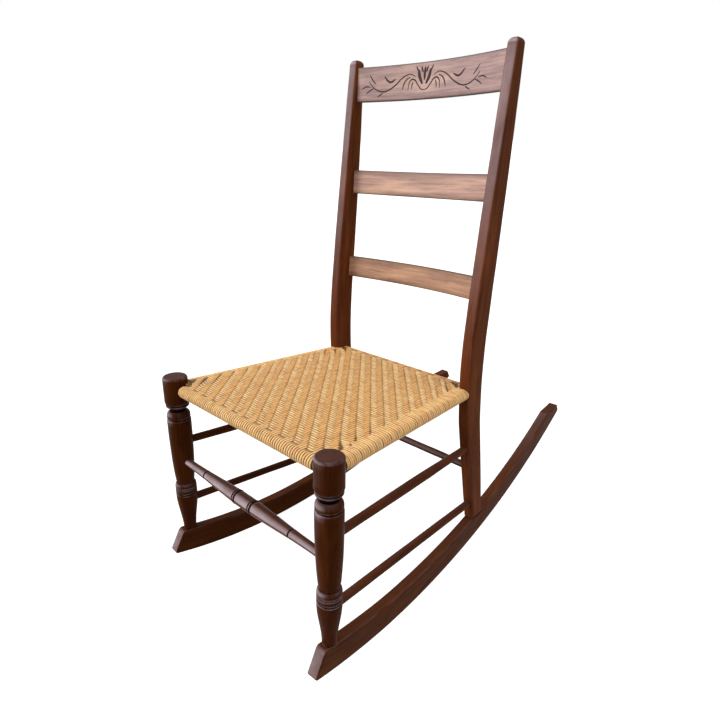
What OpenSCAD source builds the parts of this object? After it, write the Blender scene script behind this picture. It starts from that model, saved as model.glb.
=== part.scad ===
// Ladder back rocking chair without arms: turned front posts, bent back posts,
// bowed slats, a woven cane seat on round rails, and two long rockers.
// Lengths are millimetres. +Z is up, the sitter faces -Y, and +X is the sitter's left.
// Sizes and heights are given for a chair whose front posts stand upright. The whole chair
// then leans back until its weight lies over the place where its rockers touch the floor.
// The origin lies on the floor, under the middle of the overall footprint.

/* [Front posts] */
// Height of the flat tops of the front posts above the floor
front_post_h = 391; // [380:1:430]
// Radius of the thick block at the top of a front post
front_post_r = 22; // [20:0.5:25]
// Distance between the axes of the two front posts
front_span = 398; // [370:1:440]
// Radius of the turned foot where it meets the rocker
foot_r = 12; // [10:0.5:14]
// Height of the neck under the top block above the floor
neck_h = 326; // [318:1:334]
// Radius of the neck
neck_r = 13.4; // [11:0.2:15]
// Radius of the shaft where it is fullest
shaft_r = 21.4; // [20:0.1:22]
// Height of the middle of the lower ring above the floor
low_ring_h = 162; // [158:1:168]
// Length of the lower ring along the post
low_ring_len = 17; // [12:1:22]
// Radius of the lower ring and of the foot's top
low_ring_r = 19.8; // [18:0.1:21]
// Radius of the waist above the lower ring
waist_r = 15.2; // [13:0.2:17]
// How much smaller the upper ring is than the top block, in radius
ring_step = 1.2; // [0.5:0.1:3]
// Depth of the grooves turned beside the rings
groove_d = 1.6; // [0.8:0.1:2]
// Radius of the rounding round a flat top
top_round = 3; // [1:0.5:5]

/* [Back posts] */
// Height of the tips of the back posts above the floor
back_post_h = 943; // [930:1:1000]
// Width of a back post at the seat, seen from the front
back_post_w = 23.8; // [22:0.2:28]
// Width of a back post just under its tip
back_post_w_top = 22; // [20:0.5:26]
// Clear width between the back posts at the seat
back_gap = 318; // [290:1:350]
// Depth of a back post at its foot, front to back
post_depth_foot = 30.5; // [28:0.5:36]
// Depth of a back post at the bend, front to back
post_depth_bend = 46.5; // [42:0.5:52]
// Depth of a back post just under its tip, front to back
post_depth_top = 22; // [19:0.5:26]
// Height of the middle of the bend above the floor
bend_h = 392; // [380:1:405]
// Length over which the post turns from leg to back
bend_soft = 100; // [60:5:140]
// Backward rake of the leg below the bend, in degrees
leg_rake = 10.9; // [8:0.1:12]
// Backward rake of the back above the bend, in degrees
back_rake = 7; // [4:0.1:9]
// Outward splay of the leg below the bend, in degrees
leg_splay = 2.6; // [0:0.1:3]
// Width of the flats cut on the two front corners of a back post
post_flat = 4; // [2:0.5:5]
// Height of the rounded tip of a back post
tip_round = 9; // [5:0.5:10]

/* [Seat] */
// Distance from the front post axes to the front faces of the back posts, at the bend
seat_depth = 367.5; // [340:0.5:390]
// Height of the front rail's axis above the floor
front_rail_h = 367.5; // [362:0.5:372]
// Fall of the seat from front to back, in degrees
seat_fall = 1.7; // [0:0.1:2.5]
// Radius of the round seat rails
rail_r = 8; // [7:0.1:9]
// Radius of the tenons on the seat rails
rail_tenon_r = 6.5; // [5.5:0.1:6.8]
// Thickness of the woven cane
cane_t = 2.4; // [1.6:0.1:3]
// Gap between the cane and the wood that it passes
cane_gap = 0.3; // [0.2:0.05:0.6]

/* [Slats] */
// Thickness of the three slats
slat_t = 8; // [7:0.5:9]
// Backward bow of a slat at its middle
slat_bow = 20; // [10:1:24]
// Distance from the rear face of a post to the middle of a slat, at the bend
slat_set = 10.5; // [9:0.5:12]
// Distance from the rear face of a post to the middle of a slat, at the tip
slat_set_top = 13; // [11:0.5:14]
// Depth of a slat's end in its mortise
slat_tenon = 10; // [8:0.5:11]
// Distance from the back posts' tips down to the crest slat's upper edge
crest_drop = 14; // [11:1:30]
// Height of the crest slat from edge to edge
crest_h = 62; // [50:1:70]
// Space between the crest slat and the middle slat
upper_space = 126; // [110:1:140]
// Height of the middle slat from edge to edge
middle_h = 46; // [36:1:56]
// Space between the middle slat and the lower slat
lower_space = 128; // [110:1:140]
// Height of the lower slat from edge to edge
lower_h = 43; // [36:1:52]

/* [Rungs] */
// Radius of the tenons on the rungs
tenon_r = 7.5; // [6.5:0.1:7.6]
// Radius of an upper side rung at its middle
upper_rung_r = 8.5; // [7.6:0.1:10]
// Radius of a lower side rung at its middle
lower_rung_r = 7.7; // [7.6:0.1:10]
// Height of the upper side rungs at the front posts
upper_rung_front_h = 259; // [250:1:275]
// Height of the upper side rungs at the back posts
upper_rung_back_h = 236; // [225:1:245]
// Height of the lower side rungs at the front posts
lower_rung_front_h = 134; // [125:1:142]
// Height of the lower side rungs at the back posts
lower_rung_back_h = 104; // [99:1:118]
// Height of the turned front rung
front_rung_h = 222; // [205:1:230]
// Radius of the front rung at its middle
front_rung_r = 12.6; // [11:0.2:14]
// Distance from the middle of the front rung to its outer grooves
outer_groove = 116; // [100:1:140]
// Distance from the middle of the front rung to its inner beads
inner_bead = 21.5; // [12:0.5:30]
// Height of the back rung
back_rung_h = 184; // [160:1:205]
// Radius of the back rung at its middle
back_rung_r = 7.6; // [7.6:0.1:9]

/* [Rockers] */
// Thickness of a rocker, side to side
rocker_t = 20; // [18:0.5:26]
// Height of a rocker, from its sole to its top edge
rocker_h = 47; // [42:1:50]
// Distance from the front post axes back to the lowest point of an upright chair's rockers
rest_reach = 198; // [185:1:215]
// Radius of the sole in front of that lowest point
sole_front_r = 976; // [900:1:1200]
// Radius of the sole behind that lowest point
sole_rear_r = 1241; // [1150:1:1400]
// Backward lean of the whole chair at rest, in degrees
lean_back = 6; // [5.5:0.1:6.5]
// Reach of a rocker's nose in front of the front post axes
nose_reach = 41; // [36:1:60]
// Backward slope of the nose over the rocker's height
nose_slope = 12; // [0:1:20]
// Reach of a rocker's tail behind the front post axes
tail_reach = 830; // [780:1:870]
// Height of the square end of the tail
tail_square = 23.5; // [15:0.5:35]
// Length of the slope cut on top of the tail
tail_cut = 45; // [25:1:60]

/* [Joints] */
// Depth of the round tenons in the posts
tenon_len = 14; // [10:0.5:14]
// Radius of the tenons under the posts' feet
foot_tenon_r = 6; // [5:0.1:7]
// Depth of the foot tenons in the rockers
foot_tenon_len = 26; // [18:1:30]
// Gap all round a tenon in its bore or mortise
fit_gap = 0.05; // [0.02:0.01:0.1]
// Gap at the bottom of a bore or mortise
end_gap = 0.5; // [0.3:0.1:1]

/* [Hidden] */

WOOD = "saddlebrown";
RAIL_WOOD = "sienna";
CANE = "burlywood";
// Number of sides of turned work, and of the long arcs of the slats
ROUND = 64;
LONG = 360;

// Shapes of turned outlines, given as [radius, height]

// Half a cosine wave from p to q
function ease(p, q, n = 6) =
    [for (i = [1 : n]) [p[0] + (q[0] - p[0]) * (1 - cos(180 * i / n)) / 2, p[1] + (q[1] - p[1]) * i / n]];
// A quarter of an ellipse from p to q, which leaves p along the axis
function shoulder(p, q, n = 4) =
    [for (i = [1 : n]) [q[0] + (p[0] - q[0]) * cos(90 * i / n), p[1] + (q[1] - p[1]) * sin(90 * i / n)]];
// A groove as deep as half its width, cut into radius r
function groove(r, h, d = groove_d) = [[r, h - d], [r - d, h], [r, h + d]];

// Back post's line, as functions of the height above the floor

// Half the distance between the axes of the front posts, and of the back posts at the seat
front_x = front_span / 2;
back_x = (back_gap + back_post_w) / 2;
tip_base = back_post_h - tip_round;
// Place of the front face: two straight runs joined by a soft bend
function bend_curve(u) =
    (tan(back_rake) - tan(leg_rake)) / 2 * u
    + (tan(back_rake) + tan(leg_rake)) / 2 * (sqrt(u * u + bend_soft * bend_soft) - bend_soft);
function post_front(z) = seat_depth + bend_curve(z - bend_h);
// Share of the way from the bend to the foot or to the tip
function down_leg(z) = (bend_h - z) / (bend_h - rocker_h);
function up_back(z) = (z - bend_h) / (tip_base - bend_h);
function post_depth(z) = z < bend_h
    ? post_depth_bend - (post_depth_bend - post_depth_foot) * pow(down_leg(z), 2)
    : post_depth_bend - (post_depth_bend - post_depth_top) * pow(up_back(z), 2);
function post_w(z) = back_post_w - (back_post_w - back_post_w_top) * max(0, up_back(z));
function post_mid(z) = post_front(z) + post_depth(z) / 2;
function post_rear(z) = post_front(z) + post_depth(z);
function post_x(z) = back_x + max(0, bend_h - bend_soft - z) * tan(leg_splay);
function back_point(z) = [post_x(z), post_mid(z), z];

// Rocker's line, as functions of the distance s along it from the front post axis

function sole_r(s) = s < rest_reach ? sole_front_r : sole_rear_r;
function top_edge(s) = sole_r(s) - sqrt(pow(sole_r(s) - rocker_h, 2) - pow(s - rest_reach, 2));
// The point at height h over place s of the sole, measured square to the sole
function rocker_point(s, h) =
    let (r = sole_r(s), a = asin((s - rest_reach) / r))
    [rest_reach + (r - h) * sin(a), r - (r - h) * cos(a)];
// The back post stands where its middle meets the top edge, found in two steps
back_foot_h = top_edge(post_mid(top_edge(post_mid(rocker_h))));
rocker_back_x = post_x(back_foot_h);
rocker_back_y = post_mid(back_foot_h);
rocker_turn = atan((front_x - rocker_back_x) / rocker_back_y);
function top_of_rocker(y) = top_edge(y / cos(rocker_turn));
foot_h = top_of_rocker(0);
// The sole's chords are laid out from the place where it touches the floor, so that the
// chair rests on the middle of one
chord = 24;
nose_round = 4;
contact = rest_reach + sole_rear_r * sin(lean_back);
front_chords = floor((contact + nose_reach - nose_round) / chord - 0.5);
rear_chords = floor((tail_reach - contact) / chord - 0.5);
chord_places = [for (k = [-front_chords : rear_chords - 1]) contact + (k + 0.5) * chord];

// Tips the upright chair back to rest, and moves the middle of its footprint to the origin
function leant_y(p) = p[0] * cos(rocker_turn) * cos(lean_back) + p[1] * sin(lean_back);
function leant_z(p) = p[1] * cos(lean_back) - p[0] * cos(rocker_turn) * sin(lean_back);
leant_ys = [for (p = rocker_outline()) leant_y(p)];
shift_y = (min(leant_ys) + max(leant_ys)) / 2;
lift_z = rocker_t / 2 * sin(rocker_turn) * sin(lean_back) - min([for (p = rocker_outline()) leant_z(p)]);
module placed() {
    translate([0, -shift_y, lift_z]) rotate([-lean_back, 0, 0]) children();
}
module left(c = WOOD) {
    color(c) placed() children();
}
module right(c = WOOD) {
    color(c) placed() mirror([1, 0, 0]) children();
}
// Children stand along the line from p to q
module along(p, q) {
    v = q - p;
    translate(p) rotate([0, acos(v[2] / norm(v)), atan2(v[1], v[0])]) children();
}

// Seat plane: its origin is the middle of the front rail's axis
module in_seat_plane() {
    translate([0, 0, front_rail_h]) rotate([-seat_fall, 0, 0]) children();
}
function seat_point(x, y) = [x, y * cos(seat_fall), front_rail_h - y * sin(seat_fall)];
back_rail_h = front_rail_h - (seat_depth + post_depth_bend / 2) * tan(seat_fall);
// Place of the back rail in the seat plane, in the middle of the back posts
back_rail = post_mid(back_rail_h) / cos(seat_fall);

// Lines of the side rails and side rungs, from front post to back post
side_rail_line = [seat_point(front_x, 0), seat_point(back_x, back_rail)];
upper_rung_line = [[front_x, 0, upper_rung_front_h], back_point(upper_rung_back_h)];
lower_rung_line = [[front_x, 0, lower_rung_front_h], back_point(lower_rung_back_h)];
// How far the tenons end from the middles of the posts
front_stop = front_post_r - tenon_len;
inner_stop = back_post_w / 2 - tenon_len;
function back_stop(z) = post_depth(z) / 2 - tenon_len;

// A blind bore in the post at p for a tenon that comes from q
module bore(p, q, stop, r) {
    along(p, q) translate([0, 0, stop - end_gap]) cylinder(r = r + fit_gap, h = 3 * tenon_len, $fn = ROUND);
}
// The round tenon under a foot at x, y, and its bore
module foot_tenon(x, y) {
    translate([x, y, top_of_rocker(y) - foot_tenon_len])
        cylinder(r = foot_tenon_r, h = foot_tenon_len + foot_tenon_r, $fn = ROUND);
}
module foot_bore(x, y) {
    translate([x, y, top_of_rocker(y) - foot_tenon_len - end_gap])
        cylinder(r = foot_tenon_r + fit_gap, h = foot_tenon_len + rocker_h, $fn = ROUND);
}

// Front posts, turned

// Straight length of the foot above the rocker
foot_step = 2;
// Height of the step from the lower ring to the waist
ring_rise = 5;
// The lower this power, the sooner the shaft fills out above the waist
shaft_power = 0.5;
// Distances from the neck down to the fullest place and the end of the shaft, and to the
// groove and the top of the upper ring
full_drop = 36;
shaft_drop = 22;
groove_drop = 16;
ring_drop = 10;
// Half the straight length of the neck, and the heights above it of the top of the bead under
// the block, of the groove over the bead and of the block's lower edge
neck_half = 1.75;
bead_rise = 9;
bead_groove_rise = 11.5;
block_rise = 17;
function front_post_outline() =
    let (ring_r = front_post_r - ring_step,
         foot_top = low_ring_h - low_ring_len / 2 - groove_d,
         ring_top = low_ring_h + low_ring_len / 2 - 1,
         waist_h = ring_top + ring_rise)
    concat(
        [[0, foot_h - rocker_h / 2], [foot_r, foot_h - rocker_h / 2], [foot_r, foot_h + foot_step]],
        ease([foot_r, foot_h + foot_step], [low_ring_r, foot_top - groove_d], 8),
        groove(low_ring_r, foot_top),
        groove(low_ring_r, low_ring_h + 1, groove_d / 3),
        shoulder([low_ring_r, ring_top], [waist_r, waist_h]),
        [for (t = [1 / 16 : 1 / 16 : 1.001])
            [waist_r + (shaft_r - waist_r) * pow(sin(90 * min(1, t)), shaft_power),
             waist_h + (neck_h - full_drop - waist_h) * t]],
        [[shaft_r, neck_h - shaft_drop]],
        groove(ring_r, neck_h - groove_drop),
        [[ring_r, neck_h - ring_drop - 2]],
        shoulder([ring_r, neck_h - ring_drop], [neck_r, neck_h - neck_half]),
        ease([neck_r, neck_h + neck_half], [ring_r, neck_h + bead_rise]),
        groove(ring_r, neck_h + bead_groove_rise, groove_d / 2),
        [[front_post_r, neck_h + block_rise]],
        [[front_post_r, front_post_h - top_round]],
        shoulder([front_post_r, front_post_h - top_round], [front_post_r - top_round, front_post_h]),
        [[0, front_post_h]]);
module front_post() {
    difference() {
        translate([front_x, 0, 0]) rotate_extrude($fn = ROUND) polygon(front_post_outline());
        rocker_blank(3 * rocker_t);
        bore(side_rail_line[0], side_rail_line[1], front_stop, rail_tenon_r);
        bore(side_rail_line[0], seat_point(-front_x, 0), front_stop, rail_tenon_r);
        bore(upper_rung_line[0], upper_rung_line[1], front_stop, tenon_r);
        bore(lower_rung_line[0], lower_rung_line[1], front_stop, tenon_r);
        bore([front_x, 0, front_rung_h], [-front_x, 0, front_rung_h], front_stop, tenon_r);
    }
    foot_tenon(front_x, 0);
}

// Back posts, bent and tapered

// Level section: a wide flat on each front corner and a small one on each rear corner
function post_section(z, inset = 0) =
    let (x = post_x(z), w = post_w(z) / 2 - inset, f = post_front(z) + inset, r = post_rear(z) - inset,
         a = max(0.4, post_flat - inset), b = max(0.4, post_flat / 2 - inset))
    [[x - w + a, f], [x + w - a, f], [x + w, f + a], [x + w, r - b],
     [x + w - b, r], [x - w + b, r], [x - w, r - b], [x - w, f + a]];
function lift(points, z) = [for (p = points) [p[0], p[1], z]];
// Faces of a loft over rings of n points, from the lowest ring up
function loft_faces(rings, n) = concat(
    [for (k = [0 : rings - 2], i = [0 : n - 1]) let (a = k * n + i, b = k * n + (i + 1) % n) [a, a + n, b]],
    [for (k = [0 : rings - 2], i = [0 : n - 1]) let (a = k * n + i, b = k * n + (i + 1) % n) [b, a + n, b + n]],
    [[for (i = [0 : n - 1]) i]],
    [[for (i = [n - 1 : -1 : 0]) (rings - 1) * n + i]]);
module back_post_blank() {
    steps = 30;
    low = back_foot_h - rocker_h / 2;
    shaft = [for (i = [0 : steps]) let (z = low + (tip_base - low) * i / steps) lift(post_section(z), z)];
    tip = [for (a = [22 : 22 : 88])
        lift(post_section(tip_base, tip_round * (1 - cos(a))), tip_base + tip_round * sin(a))];
    rings = concat(shaft, tip);
    polyhedron(points = [for (ring = rings, p = ring) p], faces = loft_faces(len(rings), 8), convexity = 6);
}
module back_post() {
    difference() {
        back_post_blank();
        rocker_blank(3 * rocker_t);
        bore(upper_rung_line[1], upper_rung_line[0], back_stop(upper_rung_back_h), tenon_r);
        bore(lower_rung_line[1], lower_rung_line[0], back_stop(lower_rung_back_h), tenon_r);
        bore(side_rail_line[1], side_rail_line[0], back_stop(back_rail_h), rail_tenon_r);
        bore(side_rail_line[1], seat_point(-back_x, back_rail), inner_stop, rail_tenon_r);
        bore(back_point(back_rung_h), back_point(back_rung_h) - [2 * back_x, 0, 0], inner_stop, tenon_r);
        slat_band(crest_base, crest_h, fit_gap, end_gap);
        slat_band(middle_base, middle_h, fit_gap, end_gap);
        slat_band(lower_base, lower_h, fit_gap, end_gap);
    }
    foot_tenon(rocker_back_x, rocker_back_y);
}

// Slats, bent boards whose ends stand in mortises

slat_half = back_gap / 2;
slat_r = (slat_half * slat_half + slat_bow * slat_bow) / (2 * slat_bow);
// Heights of the slats' lower edges, from the tips down
crest_base = back_post_h - crest_drop - crest_h;
middle_base = crest_base - upper_space - middle_h;
lower_base = middle_base - lower_space - lower_h;
// Place of the middle of a slat's end, and the lean of the back there
function slat_line(z) = post_rear(z) - slat_set - (slat_set_top - slat_set) * pow(up_back(z), 2);
function slat_lean(z) = atan((slat_line(z + 10) - slat_line(z - 10)) / 20);
// A slat with its lower edge at base, grown all round by gap and at its ends by more
module slat_band(base, height, gap = 0, more = 0) {
    mid = base + height / 2;
    reach = slat_half + slat_tenon + more;
    translate([0, slat_line(mid), mid]) rotate([-slat_lean(mid), 0, 0])
        translate([0, slat_bow - slat_r, -height / 2 - gap])
            linear_extrude(height + 2 * gap) intersection() {
                difference() {
                    circle(r = slat_r + slat_t / 2 + gap, $fn = LONG);
                    circle(r = slat_r - slat_t / 2 - gap, $fn = LONG);
                }
                translate([-reach, slat_r / 2]) square([2 * reach, slat_r]);
            }
}
module crest_slat() {
    color(WOOD) placed() slat_band(crest_base, crest_h);
}
module middle_slat() {
    color(WOOD) placed() slat_band(middle_base, middle_h);
}
module lower_slat() {
    color(WOOD) placed() slat_band(lower_base, lower_h);
}

// Rungs, turned

// The front rung swells from the posts to its middle
swell_half = front_x - front_post_r;
function swell(t) = tenon_r + (front_rung_r - tenon_r) * pow(cos(90 * min(1, t / swell_half)), 2.4);
bead_half = 2.8;
rung_groove = 0.9;
function half_front_rung() = concat(
    [for (t = [0.3, 0.6] * inner_bead) [swell(t), t]],
    groove(swell(inner_bead - bead_half), inner_bead - bead_half, rung_groove),
    [[swell(inner_bead) + rung_groove / 3, inner_bead]],
    groove(swell(inner_bead + bead_half), inner_bead + bead_half, rung_groove),
    [for (i = [1 : 7]) let (t = inner_bead + (outer_groove - inner_bead) * i / 8) [swell(t), t]],
    groove(swell(outer_groove), outer_groove, rung_groove),
    [for (i = [1 : 5]) let (t = outer_groove + (swell_half - outer_groove) * i / 5) [swell(t), t]],
    [[tenon_r, front_x - front_stop], [0, front_x - front_stop]]);
module front_rung() {
    half = half_front_rung();
    other = [for (i = [len(half) - 1 : -1 : 0]) [half[i][0], -half[i][1]]];
    color(WOOD) placed() translate([0, 0, front_rung_h]) rotate([0, 90, 0])
        rotate_extrude($fn = ROUND) polygon(concat(other, [[swell(0), 0]], half));
}
// A plain rung between posts at p and q, which swells a little to its middle
module rung(p, q, stop_p, stop_q, mid_r) {
    last = norm(q - p) - stop_q;
    mid = (stop_p + last) / 2;
    straight = tenon_len + tenon_r;
    outline = concat([[0, stop_p], [tenon_r, stop_p], [tenon_r, stop_p + straight]],
                     ease([tenon_r, stop_p + straight], [mid_r, mid], 8),
                     ease([mid_r, mid], [tenon_r, last - straight], 8),
                     [[tenon_r, last], [0, last]]);
    along(p, q) rotate_extrude($fn = ROUND) polygon(outline);
}
module back_rung() {
    p = back_point(back_rung_h);
    color(WOOD) placed() rung(p, [-p[0], p[1], p[2]], inner_stop, inner_stop, back_rung_r);
}
module upper_rung() {
    rung(upper_rung_line[0], upper_rung_line[1], front_stop, back_stop(upper_rung_back_h), upper_rung_r);
}
module lower_rung() {
    rung(lower_rung_line[0], lower_rung_line[1], front_stop, back_stop(lower_rung_back_h), lower_rung_r);
}

// Seat rails, hidden inside the cane

// A straight round rail between posts at p and q, shouldered just clear of them
module rail(p, q, stop_p, stop_q, face_p, face_q) {
    len = norm(q - p);
    along(p, q) {
        translate([0, 0, stop_p]) cylinder(r = rail_tenon_r, h = len - stop_p - stop_q, $fn = ROUND);
        translate([0, 0, face_p + end_gap])
            cylinder(r = rail_r, h = len - face_p - face_q - 2 * end_gap, $fn = ROUND);
    }
}
module seat_rail_front() {
    color(RAIL_WOOD) placed() rail(seat_point(-front_x, 0), seat_point(front_x, 0),
                                   front_stop, front_stop, front_post_r, front_post_r);
}
module seat_rail_back() {
    color(RAIL_WOOD) placed() rail(seat_point(-back_x, back_rail), seat_point(back_x, back_rail),
                                   inner_stop, inner_stop, back_post_w / 2, back_post_w / 2);
}
module side_rail() {
    rail(side_rail_line[0], side_rail_line[1], front_stop, back_stop(back_rail_h),
         front_post_r, post_depth(back_rail_h) / 2 + rail_r * tan(leg_rake));
}

// Woven cane: one mat above the rails and one below, each rolled half round every rail

// A slab with round edges, as thick as a round of radius r on all four rails
module seat_slab(r) {
    corners = [[front_x, 0, 0], [back_x, back_rail, 0], [-back_x, back_rail, 0], [-front_x, 0, 0]];
    hull() {
        for (i = [0 : 3]) {
            p = corners[i];
            q = corners[(i + 1) % 4];
            along(p, q) cylinder(r = r, h = norm(q - p), $fn = 32);
        }
    }
}
module mat() {
    inner = rail_r + cane_gap;
    difference() {
        seat_slab(inner + cane_t);
        seat_slab(inner);
        translate([-front_span, -front_span, -2 * rail_r - 2 * cane_t])
            cube([2 * front_span, 3 * front_span, 2 * rail_r + 2 * cane_t]);
    }
}
// Room for the four posts where they pass the mats
module post_room() {
    front_lean = atan((post_front(back_rail_h - 10) - post_front(back_rail_h + 10)) / 20);
    for (side = [0, 1]) {
        mirror([side, 0, 0]) {
            translate([front_x, 0, front_rail_h / 2])
                cylinder(r = front_post_r + cane_gap, h = front_post_h, $fn = ROUND);
            translate([back_gap / 2 - cane_gap, post_front(back_rail_h) - cane_gap, back_rail_h])
                rotate([front_lean, 0, 0]) translate([0, 0, -back_rail_h / 2])
                    cube([3 * back_post_w, 2 * post_depth_bend, back_rail_h]);
        }
    }
}
module woven_top() {
    color(CANE) placed() difference() {
        in_seat_plane() mat();
        post_room();
    }
}
module woven_underside() {
    color(CANE) placed() difference() {
        in_seat_plane() mirror([0, 0, 1]) mat();
        post_room();
    }
}

// Rockers

// Side outline: the sole from nose to tail, a tail cut off with a slope on top, the top edge back
// to a sloping nose
function rocker_outline() =
    let (nose_top = -nose_reach + nose_slope, tail_top = tail_reach - tail_cut)
    concat(
        [rocker_point(-nose_reach + nose_round, 0)],
        [for (s = chord_places) rocker_point(s, 0)],
        [rocker_point(tail_reach, 0), rocker_point(tail_reach, tail_square), rocker_point(tail_top, rocker_h)],
        [for (i = [len(chord_places) - 1 : -1 : 0])
            if (chord_places[i] < tail_top && chord_places[i] > nose_top) rocker_point(chord_places[i], rocker_h)],
        [rocker_point(nose_top, rocker_h),
         rocker_point(-nose_reach + nose_slope * nose_round / rocker_h, nose_round),
         rocker_point(-nose_reach + nose_round * 0.3, nose_round * 0.3)]);
// The outline in a given thickness, under the two posts of one side
module rocker_blank(thick) {
    translate([front_x, 0, 0]) rotate([0, 0, rocker_turn]) rotate([90, 0, 90])
        linear_extrude(thick, center = true) polygon(rocker_outline());
}
module rocker() {
    difference() {
        rocker_blank(rocker_t);
        foot_bore(front_x, 0);
        foot_bore(rocker_back_x, rocker_back_y);
    }
}

left() front_post();  // front_post_left
right() front_post();  // front_post_right
left() back_post();  // back_post_left
right() back_post();  // back_post_right
crest_slat();
middle_slat();
lower_slat();
front_rung();
back_rung();
left() upper_rung();  // upper_rung_left
right() upper_rung();  // upper_rung_right
left() lower_rung();  // lower_rung_left
right() lower_rung();  // lower_rung_right
seat_rail_front();
seat_rail_back();
left(RAIL_WOOD) side_rail();  // seat_rail_left
right(RAIL_WOOD) side_rail();  // seat_rail_right
woven_top();
woven_underside();
left() rocker();  // rocker_left
right() rocker();  // rocker_right
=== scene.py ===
"""Ladder back rocking chair: turned and bent wood under old varnish, and a seat woven of cane.

Every size is given for a chair whose front posts stand upright, in metres. at_rest() leans the whole
chair back on its rockers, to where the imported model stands. Paired pieces are worked out for the left
side and mirrored. s stands for the chair's sizes, k for the cane's sizes and c for the colours.
"""

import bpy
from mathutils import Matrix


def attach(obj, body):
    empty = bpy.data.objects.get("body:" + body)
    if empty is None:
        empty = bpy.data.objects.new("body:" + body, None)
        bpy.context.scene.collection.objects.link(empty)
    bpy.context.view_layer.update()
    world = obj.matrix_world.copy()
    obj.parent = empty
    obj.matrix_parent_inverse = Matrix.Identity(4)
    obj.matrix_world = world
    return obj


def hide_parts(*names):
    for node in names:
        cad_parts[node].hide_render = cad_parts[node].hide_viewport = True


bl_info = {
    "name": "Ladder Back Rocking Chair",
    "version": (1, 0, 0),
    "blender": (4, 5, 0),
    "location": "3D View > Sidebar > Chair",
    "description": "Makes a ladder back rocking chair with a cane seat, piece by piece",
    "category": "Add Mesh",
}

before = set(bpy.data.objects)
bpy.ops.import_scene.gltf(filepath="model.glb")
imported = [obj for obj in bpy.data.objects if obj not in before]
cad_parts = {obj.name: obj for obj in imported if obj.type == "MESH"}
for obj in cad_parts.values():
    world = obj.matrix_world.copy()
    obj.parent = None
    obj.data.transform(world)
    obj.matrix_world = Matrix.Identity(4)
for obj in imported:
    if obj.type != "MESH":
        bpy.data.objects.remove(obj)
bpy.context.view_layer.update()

import math

import bpy
import numpy as np
from bpy.props import FloatProperty, FloatVectorProperty, IntProperty, PointerProperty
from bpy.types import Operator, Panel, PropertyGroup
from mathutils import Matrix, Vector, noise

MM = 0.001
SIDES = (("left", 1), ("right", -1))
# How far the rungs' ends stand in the posts
RUNG_IN = 6 * MM


# Sizes and colours

def length(label, about, default):
    return FloatProperty(name=label, description=about, default=default, unit="LENGTH", subtype="DISTANCE",
                         precision=4)


def angle(label, about, degrees):
    return FloatProperty(name=label, description=about, default=math.radians(degrees), unit="ROTATION",
                         subtype="ANGLE")


def colour(label, about, default):
    return FloatVectorProperty(name=label, description=about, default=default, size=3, subtype="COLOR",
                               min=0.0, max=1.0)


def share(label, about, default):
    return FloatProperty(name=label, description=about, default=default, min=0.0, max=1.0, subtype="FACTOR")


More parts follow.
